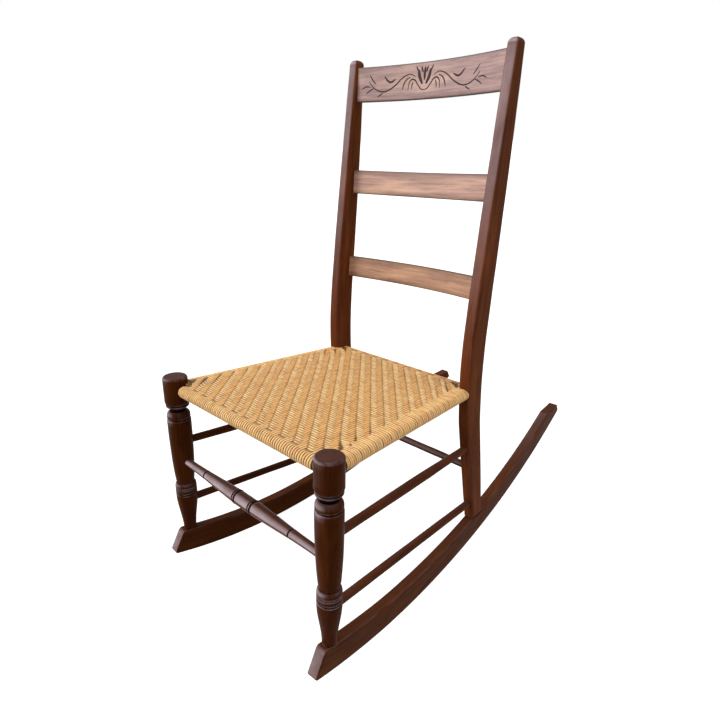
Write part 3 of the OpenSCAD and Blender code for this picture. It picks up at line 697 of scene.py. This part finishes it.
class CHAIR_OT_front_posts(Operator):
    """Turn the two front posts"""
    bl_idname = "chair.front_posts"
    bl_label = "Front posts"

    def execute(self, context):
        s, c = context.scene.chair_sizes, context.scene.chair_colours
        grain = turned(front_post_outline(s))
        rings = sink_feet(grain + np.array([s.front_x, 0.0, 0.0]), s)
        pair("turned_front_post", rings, varnish("front_post", c), s, "front_post", grain, size=0.035)
        return {"FINISHED"}


class CHAIR_OT_front_rung(Operator):
    """Turn the front rung with its beads and grooves"""
    bl_idname = "chair.front_rung"
    bl_label = "Front rung"

    def execute(self, context):
        s, c = context.scene.chair_sizes, context.scene.chair_colours
        grain = turned(front_rung_outline(s))
        rings = along(grain, (0, 0, s.front_rung_h), (1, 0, s.front_rung_h))
        skin("turned_front_rung", rings, varnish("front_rung", c), s, "front_rung", 1, grain)
        return {"FINISHED"}


def plain_rung(node, p, q, inset_p, inset_q, middle_r, side, s, c):
    """A round rung that swells a little between two posts, inset from the posts' middles p and q."""
    p, q = np.asarray(p, float), np.asarray(q, float)
    run = np.linalg.norm(q - p)
    place = np.linspace(inset_p, run - inset_q, 60)
    t = (place - inset_p) / (run - inset_p - inset_q)
    r = s.tenon_r + (middle_r - s.tenon_r) * (1 - np.cos(2 * math.pi * np.clip(t, 0, 1))) / 2
    grain = turned(np.stack([r, place], -1), 40)
    skin("round_" + node, along(grain, p, q), varnish("side_rung", c), s, node, side, grain, 0.7 * MM, 0.045)


class CHAIR_OT_plain_rungs(Operator):
    """Turn the back rung and the four side rungs"""
    bl_idname = "chair.plain_rungs"
    bl_label = "Back and side rungs"

    def execute(self, context):
        s, c = context.scene.chair_sizes, context.scene.chair_colours
        levels = (("upper", s.upper_rung_front_h, s.upper_rung_back_h, s.upper_rung_r),
                  ("lower", s.lower_rung_front_h, s.lower_rung_back_h, s.lower_rung_r))
        for word, side in SIDES:
            for level, front_h, back_h, r in levels:
                plain_rung("%s_rung_%s" % (level, word), (s.front_x, 0, front_h), back_point(back_h, s),
                           s.front_post_r - 2 * RUNG_IN, float(post_depth(back_h, s)) / 2 - RUNG_IN,
                           r, side, s, c)
        p = back_point(s.back_rung_h, s)
        inset = s.back_post_w / 2 - RUNG_IN
        plain_rung("back_rung", p, p * [-1, 1, 1], inset, inset, s.back_rung_r, 1, s, c)
        return {"FINISHED"}


# Bent and sawn work

class CHAIR_OT_back_posts(Operator):
    """Shape the two bent back posts"""
    bl_idname = "chair.back_posts"
    bl_label = "Back posts"

    def execute(self, context):
        s, c = context.scene.chair_sizes, context.scene.chair_colours
        tip = s.back_post_h - s.tip_round
        levels = [(z, 0.0) for z in np.linspace(back_foot(s)[2] - 8 * MM, tip, 150)]
        levels += [(tip + s.tip_round * math.sin(a), s.tip_round * (1 - math.cos(a)))
                   for a in np.radians(np.linspace(8, 88, 11))]
        rings, grain = [], []
        for z, inset in levels:
            held = min(z, tip)
            x, w = float(post_x(held, s)), float(post_w(held, s)) / 2 - inset
            f, r = float(post_front(held, s)) + inset, float(post_rear(held, s)) - inset
            front, rear = max(0.6 * MM, s.front_edge - inset * 0.5), max(0.6 * MM, s.rear_edge - inset * 0.2)
            front, rear = min(front, w * 0.95), min(rear, w * 0.95)
            ring = rounded_box(x - w, x + w, f, r, (front, front, rear, rear), 7, 5)
            rings.append(np.column_stack([ring, np.full(len(ring), z)]))
            grain.append(np.column_stack([ring - [x, f], np.full(len(ring), z)]))
        rings, grain = sink_feet(np.array(rings), s), np.array(grain)
        pair("bent_back_post", rings, varnish("back_post", c), s, "back_post", grain, depth=0.5 * MM,
             size=0.05)
        return {"FINISHED"}


# Cuts of the crest's ornament, right of its middle: width of the cut, then places from the middle, in mm
VINE_CUTS = (
    (1.7, (20.5, 8.0), (29, 12), (37, 12), (49, 7), (62, -3), (74, -10), (86, -14), (98, -13),
     (108, -8.5), (114, -4), (121, 4)),
    (1.7, (0, -15), (7, -13), (15.5, -4), (20, 1.5), (26, 3.6), (31, 1.5), (34, -4), (35, -14)),
    (1.7, (32, 7.5), (40, 3.2), (45, -4), (47.5, -13)),
    (1.5, (24.5, -0.5), (26.8, -6), (27, -12.5)),
    (2.4, (64, 6), (72, 2), (79, 3), (88, 11.5)),
    (1.5, (107, 0), (113, 6), (120, 15)),
    (1.6, (118, -5), (128, -4), (137, -8)),
    (1.6, (111, -7), (119, -11), (127, -16)),
    (1.6, (91, -16.5), (102, -22.5)),
    (4.6, (4.5, -4), (10.5, 7), (13, 17)),
    (1.8, (13.5, 15), (18.5, 24)),
    (2.2, (4.0, 14), (7, 22.5)),
)
MIDDLE_LEAF = (3.6, (0, 2), (0.4, 12), (1, 21))


def smooth_line(points, n=10):
    """A smooth line through a cut's places."""
    p = np.array([points[0], *points, points[-1]], float)
    out = []
    for i in range(1, len(p) - 2):
        for t in np.arange(n) / n:
            out.append(0.5 * ((2 * p[i]) + (p[i + 1] - p[i - 1]) * t
                              + (2 * p[i - 1] - 5 * p[i] + 4 * p[i + 1] - p[i + 2]) * t * t
                              + (3 * p[i] - p[i - 1] - 3 * p[i + 1] + p[i + 2]) * t ** 3))
    return np.array(out + [p[-2]])


def carved_depth(x, h, s):
    """Depth of the crest's cuts at places x, h, in metres. A cut tapers at both ends."""
    x, h = (x - s.carving_x) / MM, h / MM
    depth = np.zeros_like(x)
    left_cuts = [(width, *[(-px, ph) for px, ph in places]) for width, *places in VINE_CUTS]
    for width, *places in (MIDDLE_LEAF, *VINE_CUTS, *left_cuts):
        width = width * s.carving_w
        line = smooth_line(places)
        lo, hi = line.min(0) - width, line.max(0) + width
        near = (x > lo[0]) & (x < hi[0]) & (h > lo[1]) & (h < hi[1])
        px, ph = x[near], h[near]
        best, wide = np.full(px.shape, 1e9), np.zeros(px.shape)
        last = len(line) - 1
        for i in range(last):
            a, d = line[i], line[i + 1] - line[i]
            t = np.clip(((px - a[0]) * d[0] + (ph - a[1]) * d[1]) / max(d @ d, 1e-9), 0, 1)
            off = np.hypot(px - a[0] - t * d[0], ph - a[1] - t * d[1])
            taper = np.sin(math.pi * np.clip(0.12 + 0.76 * (i + t) / last, 0, 1)) ** 0.7 * width / 2
            closer = off / taper < best
            best = np.where(closer, off / taper, best)
            wide = np.where(closer, taper, wide)
        cut = np.maximum(0, 1 - best ** 1.6) * np.minimum(wide, 1.6) * 0.8
        depth[near] = np.maximum(depth[near], cut)
    return depth * MM


def slat_rings(base, height, s, steps_along, section):
    """Rings of a bowed slat from its right end to its left, their grain, their x on the level, and the
    way into the wood from its front."""
    half = s.back_gap / 2
    bow_r = (half * half + s.slat_bow ** 2) / (2 * s.slat_bow)
    mid, near = base + height / 2, 10 * MM
    lean = math.atan((slat_line(mid + near, s) - slat_line(mid - near, s)) / (2 * near))
    end = math.asin((half + 5 * MM) / bow_r)
    turn = np.linspace(-end, end, steps_along)[:, None]
    out, up = section[None, :, 0], section[None, :, 1]
    x = (bow_r + out) * np.sin(turn)
    y = s.slat_bow - bow_r + (bow_r + out) * np.cos(turn)
    z = np.broadcast_to(up, x.shape)
    points = np.stack([x, y * math.cos(lean) + z * math.sin(lean) + slat_line(mid, s),
                       -y * math.sin(lean) + z * math.cos(lean) + mid], -1)
    grain = np.stack([np.broadcast_to(out, x.shape), z, bow_r * turn + 0 * z], -1)
    inward = np.stack([-np.sin(turn) + 0 * z, -np.cos(turn) * math.cos(lean) + 0 * z,
                       np.cos(turn) * math.sin(lean) + 0 * z], -1)
    return points, grain, x, inward


class CHAIR_OT_slats(Operator):
    """Bend the three slats, and carve the crest"""
    bl_idname = "chair.slats"
    bl_label = "Slats"

    def execute(self, context):
        s, c = context.scene.chair_sizes, context.scene.chair_colours
        crest = s.back_post_h - s.crest_drop - s.crest_h
        middle = crest - s.upper_space - s.middle_h
        lower = middle - s.lower_space - s.lower_h
        half_t, e = s.slat_t / 2, s.slat_edge
        for node, base, height in (("crest_slat", crest, s.crest_h), ("middle_slat", middle, s.middle_h),
                                   ("lower_slat", lower, s.lower_h)):
            carved, half_h = node == "crest_slat", height / 2
            section = rounded_box(-half_t, half_t, -half_h, half_h, [e] * 4, *((5, 2) if carved else (6, 5)))
            if carved:
                face = np.arange(half_h - e, e - half_h, -0.55 * MM)[1:-1]
                section = np.concatenate([section[:-1], np.column_stack([np.full(len(face), -half_t), face])])
            points, grain, x, inward = slat_rings(base, height, s, 560 if carved else 90, section)
            dark = s.slat_dirt * np.clip((np.abs(grain[..., 1]) - half_h + 4 * MM) / (3 * MM), 0, 1)
            if carved:
                front = (section[:, 0] < -half_t + 0.01 * MM)[None, :]
                depth = carved_depth(x, grain[..., 1], s) * front
                points = points - inward * depth[..., None]
                dark = np.maximum(dark, np.clip(depth / s.full_dark, 0, 1))
            skin("bowed_" + node, points, varnish(node, c), s, node, 1, grain, 0.2 * MM, 0.05,
                 75 if carved else 40, cut=dark)
        return {"FINISHED"}


class CHAIR_OT_rockers(Operator):
    """Saw and round the two rockers"""
    bl_idname = "chair.rockers"
    bl_label = "Rockers"

    def execute(self, context):
        s, c = context.scene.chair_sizes, context.scene.chair_colours
        nose, tail, cut = -s.nose_reach, s.tail_reach, s.tail_reach - s.tail_cut
        slope_run, tail_round = 70 * MM, 2 * MM
        stations = [(nose + s.nose_round * (1 - math.cos(a)), s.nose_round * (1 - math.sin(a)))
                    for a in np.radians(np.linspace(0, 90, 8))]
        stations += [(p, 0.0) for p in np.linspace(nose + s.nose_round, cut, 150)[1:]]
        stations += [(p, 0.0) for p in np.linspace(cut, tail - tail_round, 14)[1:]]
        stations += [(tail - tail_round * (1 - math.sin(a)), tail_round * (1 - math.cos(a)))
                     for a in np.radians([20, 45, 70, 90])]
        rings, grain = [], []
        for place, inset in stations:
            fall = max(0.0, (place - cut) / s.tail_cut)
            top = s.rocker_h - (s.rocker_h - s.tail_square) * fall - inset
            e = max(0.5 * MM, s.rocker_edge - inset * 0.25)
            half = s.rocker_t / 2 - inset * 0.2
            ring = rounded_box(-half, half, inset, top, [e] * 4, 6, 7)
            back = max(0.0, 1 - (place - nose) / slope_run)
            shifted = place + s.nose_slope * ring[:, 1] / s.rocker_h * back
            rings.append(rocker_point(shifted, ring[:, 1], ring[:, 0], s))
            grain.append(np.column_stack([ring, shifted]))
        # Turned round, so that the faces point outwards
        rings, grain = np.array(rings)[:, ::-1], np.array(grain)[:, ::-1]
        pair("sawn_rocker", rings, varnish("rocker", c), s, "rocker", grain, size=0.06)
        return {"FINISHED"}


class CHAIR_OT_seat_rails(Operator):
    """Give the hidden seat rails their bare wood"""
    bl_idname = "chair.seat_rails"
    bl_label = "Seat rails"

    def execute(self, context):
        finish = bare_rail(context.scene.chair_colours)
        for side in ("front", "back", "left", "right"):
            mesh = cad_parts["seat_rail_" + side].data
            mesh.materials.clear()
            mesh.materials.append(finish)
        return {"FINISHED"}


# Cane

# Section of a strand: place across it, height, and grime with painted shade, darkest at its edges and
# underside
STRAND = np.array([(-1.0, 0.1, 0.85), (-0.62, 0.82, 0.12), (0.0, 1.0, 0.0), (0.62, 0.82, 0.12),
                   (1.0, 0.1, 0.85), (0.0, 0.0, 1.0)])


def near_edge(distance, start, full):
    """0 farther than start, 1 nearer than full, with a soft rise between."""
    t = np.clip((start - distance) / (start - full), 0, 1)
    return t * t * (3 - 2 * t)


def steps(over, places, start_dirt_and_shade, end_dirt_and_shade):
    """Place, height (1 or -1) and grime with painted shade along a strand, which keeps its height for the
    level part of the way to the next crossing and dives quickly between. The painted shade covers a stretch
    that lies under, and darkens a stretch on top where it comes up or dives beside a crossing."""
    out, last, level = [], len(places) - 1, 0.28
    for i, (v, p) in enumerate(zip(over, places)):
        before, after = max(0, i - 1), min(last, i + 1)
        start = start_dirt_and_shade if v > over[before] else 0.0
        end = end_dirt_and_shade if v > over[after] else 0.0
        # A stretch that lies under the others gets painted shade all along.
        under = 1.0 if v < 0 else 0.0
        out += [(p - level * (p - places[before]), v, under + start), (p, v, under + (start + end) * 0.35),
                (p + level * (places[after] - p), v, under + end)]
    return np.array(out).T


def strand_skin(path, outward, width, thick, closed):
    """Points of one strand round its path."""
    ahead = np.roll(path, -1, 0) - np.roll(path, 1, 0)
    if not closed:
        ahead[0], ahead[-1] = path[1] - path[0], path[-1] - path[-2]
    ahead /= np.linalg.norm(ahead, axis=1)[:, None]
    side = np.cross(ahead, outward)
    side /= np.linalg.norm(side, axis=1)[:, None]
    up = np.cross(side, ahead)
    u, v = STRAND[:, 0], STRAND[:, 1]
    return (path[:, None] + side[:, None] * (u[None, :, None] * width[:, None, None] / 2)
            + up[:, None] * ((v[None, :, None] - 0.5) * thick))


class Weave:
    """Where the strands run, over three and under three. A run is rows of place, height over the rails'
    axes, outward direction in both, and grime with painted shade. A strand is its path, its outward
    directions, its width, whether it closes on itself, its grime with painted shade, and its colour shift,
    which also paints a highlight on the front roll."""

    def __init__(self, s, k):
        self.s, self.k = s, k
        self.rail_y = back_rail(s)
        self.roll = k.roll_r - k.strand_t / 2
        self.long_x = np.arange(-k.long_half, k.long_half + 1) * k.long_pitch
        self.cross_y = np.arange(k.front_clear, self.rail_y - k.back_clear, k.cross_pitch)
        self.meets = np.array([self.crossed(x) for x in self.long_x])

    def side_axis(self, y):
        return self.s.front_x + (back_x(self.s) - self.s.front_x) * y / self.rail_y

    def crossed(self, x):
        """Which cross strands the long strand at x meets, as far as the side rolls and the back posts let
        it run."""
        clear = self.k.near_clear if x > 0 else self.k.far_clear
        beside_post, before_post = self.s.back_gap / 2 - 2.5 * MM, self.s.seat_depth - 4 * MM
        return ((abs(x) < self.side_axis(self.cross_y) - clear)
                & ((abs(x) < beside_post) | (self.cross_y < before_post)))

    def woven(self, over, places, start_dirt_and_shade, end_dirt_and_shade):
        """Runs through the other strands, on the seat's top and back along its underside."""
        level, lift = self.k.roll_r - self.k.strand_t, self.k.strand_t / 2

        def layer(up):
            return [(p, up * (level + lift * v), 0, up, dirt)
                    for p, v, dirt in zip(*steps(up * over, places, start_dirt_and_shade, end_dirt_and_shade))]

        return layer(1), layer(-1)[::-1]

    def flat(self, places, up):
        return [(p, up * self.roll, 0, up, 0) for p in places]

    def tuck(self, place, up):
        """An end pushed between the two layers."""
        return [(place, up * 0.45 * (self.k.roll_r - self.k.strand_t), 0, up, 1)]

    def round_rail(self, centre, way):
        """Run over a rail, from its top to its underside."""
        turn = np.radians(np.linspace(90, -90, 13))
        return [(centre + self.roll * a, self.roll * h, a, h, 0)
                for a, h in zip(way * np.cos(turn), np.sin(turn))]

    def long_strands(self):
        s, k = self.s, self.k
        back, front = self.round_rail(self.rail_y, 1), self.round_rail(0.0, -1)[::-1]
        for i, x in enumerate(self.long_x):
            free = np.flatnonzero(self.meets[i])
            if len(free) < 4:
                continue
            places = self.cross_y[free]
            top, low = self.woven(np.where((i + free) % 6 < 3, 1.0, -1.0), places, 0.1, 0.1)
            end, start = places[-1] + 4 * MM, places[0] - 3 * MM
            wraps_front = free[0] == 0 and abs(x) < s.front_x - s.front_post_r - 2 * MM
            if wraps_front and free[-1] == len(self.cross_y) - 1:
                runs = [(top + back + low + front, True)]
            elif wraps_front:
                runs = [(self.tuck(end, -1) + low + front + top + self.tuck(end, 1), False)]
            else:
                runs = [(self.tuck(start, 1) + top + self.tuck(end, 1), False),
                        (self.tuck(end, -1) + low + self.tuck(start, -1), False)]
            for run, closed in runs:
                y, h, out_y, out_h, dirt = np.array(run).T
                width = k.long_pitch * (k.cover + 0.08 * np.clip(y / (20 * MM), 0, 1))
                # Lighter towards the front roll: a painted highlight of the light from the front.
                tone = 0.35 + 0.45 * np.clip(y / (25 * MM), 0, 1)
                yield (np.column_stack([np.full(len(y), x), y, h]),
                       np.column_stack([np.zeros(len(y)), out_y, out_h]), width, closed, dirt, tone)

    def cross_strands(self):
        """Their ends fan out at the corners, and their rolls gather by threes."""
        k, front_fan, back_fan, fade = self.k, 17 * MM, 13 * MM, 48 * MM
        for j, y in enumerate(self.cross_y):
            edge, free = self.side_axis(y), np.flatnonzero(self.meets[:, j])
            places = self.long_x[free]
            top, low = self.woven(np.where((free + j) % 6 < 3, -1.0, 1.0), places, 0.8, 0.15)
            left = np.linspace(places[-1] + 0.6 * k.long_pitch, edge - 1 * MM, 3)
            right = np.linspace(-edge + 1 * MM, places[0] - 0.6 * k.long_pitch, 3)
            run = (top + self.flat(left, 1) + self.round_rail(edge, 1) + self.flat(left[::-1], -1) + low
                   + self.flat(right[::-1], -1) + self.round_rail(-edge, -1)[::-1] + self.flat(right, 1))
            x, h, out_x, out_h, dirt = np.array(run).T
            to_edge = edge - np.abs(x)
            front = front_fan * math.exp(-(y - self.cross_y[0]) / fade) * near_edge(to_edge, 46 * MM, 10 * MM)
            back = back_fan * math.exp(-(self.cross_y[-1] - y) / fade) * near_edge(to_edge, 60 * MM, 14 * MM)
            gather = ((free[-1] + j) % 3 - 1) * 0.04 * k.cross_pitch * near_edge(to_edge, 14 * MM, 6 * MM)
            on_roll = near_edge(to_edge, 16 * MM, 4 * MM)
            squeeze = np.maximum(0.55, 1 - (front + back) / fade)
            width = k.cross_pitch * (k.cover + 0.1 * on_roll) * squeeze
            yield (np.column_stack([x, y + front - back - gather, h]),
                   np.column_stack([out_x, np.zeros(len(x)), out_h]), width, True, dirt, 0.15 + 0.3 * on_roll)


def lay(name, strands, number, rng, finish, s, k):
    """Makes one piece of all the strands that run one way."""
    points, faces, grain, tones, dirt_and_shade_rows, at = [], [], [], [], [], 0
    for path, outward, width, closed, dirt, tone in strands:
        ring = strand_skin(path, outward, width, k.strand_t, closed)
        m, n = ring.shape[:2]
        points.append(ring.reshape(-1, 3))
        faces += [tuple(v + at for v in face) for face in ring_faces(m, n, closed)]
        run = np.concatenate([[0], np.cumsum(np.linalg.norm(np.diff(path, axis=0), axis=1))])
        number += 1
        across = STRAND[None, :, 0] * width[:, None] / 2
        strand = np.stack([across, np.full((m, n), number * 0.37), run[:, None] + 0 * across], -1)
        grain.append(strand.reshape(-1, 3))
        tones.append((tone[:, None] + 0.3 * (rng.random() - 0.5) + 0 * across).ravel())
        dirt_and_shade_rows.append(np.clip(dirt[:, None] + STRAND[None, :, 2], 0, 1).ravel())
        at += m * n
    x, y, n = np.concatenate(points).T
    new_piece(name, seat_place(x, y, n, s), faces, finish, s, "cane", ["woven_top", "woven_underside"],
              np.concatenate(grain), 60, tone=np.concatenate(tones), dirt=np.concatenate(dirt_and_shade_rows))


class CHAIR_OT_cane_seat(Operator):
    """Weave the seat, over three and under three"""
    bl_idname = "chair.cane_seat"
    bl_label = "Cane seat"

    def execute(self, context):
        s, k = context.scene.chair_sizes, context.scene.cane_sizes
        finish, rng = split_cane(context.scene.chair_colours), np.random.default_rng(7)
        weave = Weave(s, k)
        lay("cane_front_to_back", weave.long_strands(), 0, rng, finish, s, k)
        lay("cane_side_to_side", weave.cross_strands(), 200, rng, finish, s, k)
        return {"FINISHED"}


# Stage

def white_to_camera(name, colour_value, glow):
    """Pale floor that keeps the chair's shadow and is white to the camera."""
    f = Finish(name)
    f.surface.inputs["Base Color"].default_value = rgba(colour_value)
    f.surface.inputs["Roughness"].default_value = 0.9
    f.surface.inputs["Specular IOR Level"].default_value = 0.1
    light = f.add("Emission", {"Color": (1, 1, 1, 1), "Strength": f.times(f.seen(), glow)})
    f.put(f.end.inputs[0], f.add("AddShader", {0: f.surface, 1: light}))
    return f.owner


class CHAIR_OT_stage(Operator):
    """Set up the floor, the light and the camera"""
    bl_idname = "chair.stage"
    bl_label = "Stage"

    def execute(self, context):
        scene = context.scene
        scene.view_settings.view_transform = "Standard"
        self.floor(scene)
        self.light(scene)
        self.camera(scene)
        return {"FINISHED"}

    def floor(self, scene):
        half = 14.0
        mesh = bpy.data.meshes.new("floor")
        mesh.from_pydata([(-half, -half, 0), (half, -half, 0), (half, half, 0), (-half, half, 0)], [],
                         [(0, 1, 2, 3)])
        mesh.materials.append(white_to_camera("pale_floor", scene.chair_colours.floor,
                                              scene.chair_view.floor_glow))
        floor = bpy.data.objects.new("floor", mesh)
        scene.collection.objects.link(floor)

    def light(self, scene):
        v = scene.chair_view
        scene.world = bpy.data.worlds.new("studio")
        n = Nodes(scene.world, "OutputWorld")
        white = n.add("Background", {0: (1, 1, 1, 1), 1: 1.0})
        fill = n.add("Background", {0: (0.96, 0.98, 1.0, 1), 1: v.fill})
        n.put(n.end.inputs[0], n.add("MixShader", {0: n.seen(), 1: fill, 2: white}))
        for name, direction, strength, spread in (("key", (-0.6, -0.78, 0.5), v.key, 30),
                                                  ("top", (0.4, 0.2, 1.0), v.top, 50)):
            lamp = bpy.data.lights.new(name, "SUN")
            lamp.energy, lamp.angle = strength, math.radians(spread)
            source = bpy.data.objects.new(name, lamp)
            source.rotation_mode = "QUATERNION"
            source.rotation_quaternion = Vector(direction).to_track_quat("Z", "Y")
            scene.collection.objects.link(source)

    def camera(self, scene):
        """Worked out beside the upright chair, then leant back with it."""
        s, v = scene.chair_sizes, scene.chair_view
        lens = bpy.data.cameras.new("view")
        lens.lens, lens.sensor_width = v.focal, 36.0
        camera = bpy.data.objects.new("view", lens)
        a, e, r = v.azimuth, v.elevation, v.roll
        ahead = Vector((-math.sin(a) * math.cos(e), math.cos(a) * math.cos(e), -math.sin(e)))
        right = Vector((math.cos(a), math.sin(a), 0))
        up = right.cross(ahead)
        rolled = right * math.cos(r) + up * math.sin(r)
        above = up * math.cos(r) - right * math.sin(r)
        axes = Matrix((rolled, above, -ahead)).transposed()
        camera.matrix_world = (Matrix.Translation(Vector(at_rest(v.camera_place, s)))
                               @ (Matrix.Rotation(-s.lean_back, 3, "X") @ axes).to_4x4())
        scene.collection.objects.link(camera)
        scene.camera = camera


PIECE_OPERATORS = (CHAIR_OT_front_posts, CHAIR_OT_back_posts, CHAIR_OT_slats, CHAIR_OT_front_rung,
                   CHAIR_OT_plain_rungs, CHAIR_OT_rockers, CHAIR_OT_seat_rails, CHAIR_OT_cane_seat,
                   CHAIR_OT_stage)


class CHAIR_PT_making(Panel):
    """Lists the chair's pieces"""
    bl_label = "Rocking chair"
    bl_idname = "CHAIR_PT_making"
    bl_space_type = "VIEW_3D"
    bl_region_type = "UI"
    bl_category = "Chair"

    def draw(self, context):
        for maker in PIECE_OPERATORS:
            self.layout.operator(maker.bl_idname)


SETTINGS = {"chair_sizes": ChairSizes, "cane_sizes": CaneSizes, "chair_colours": ChairColours,
            "chair_view": ChairView}
CLASSES = (*SETTINGS.values(), *PIECE_OPERATORS, CHAIR_PT_making)


def register():
    for cls in CLASSES:
        bpy.utils.register_class(cls)
    for name, group in SETTINGS.items():
        setattr(bpy.types.Scene, name, PointerProperty(type=group))


def unregister():
    for name in SETTINGS:
        delattr(bpy.types.Scene, name)
    for cls in reversed(CLASSES):
        bpy.utils.unregister_class(cls)


def main():
    register()
    for maker in PIECE_OPERATORS:
        group, word = maker.bl_idname.split(".")
        getattr(getattr(bpy.ops, group), word)()


if __name__ == "__main__":
    main()
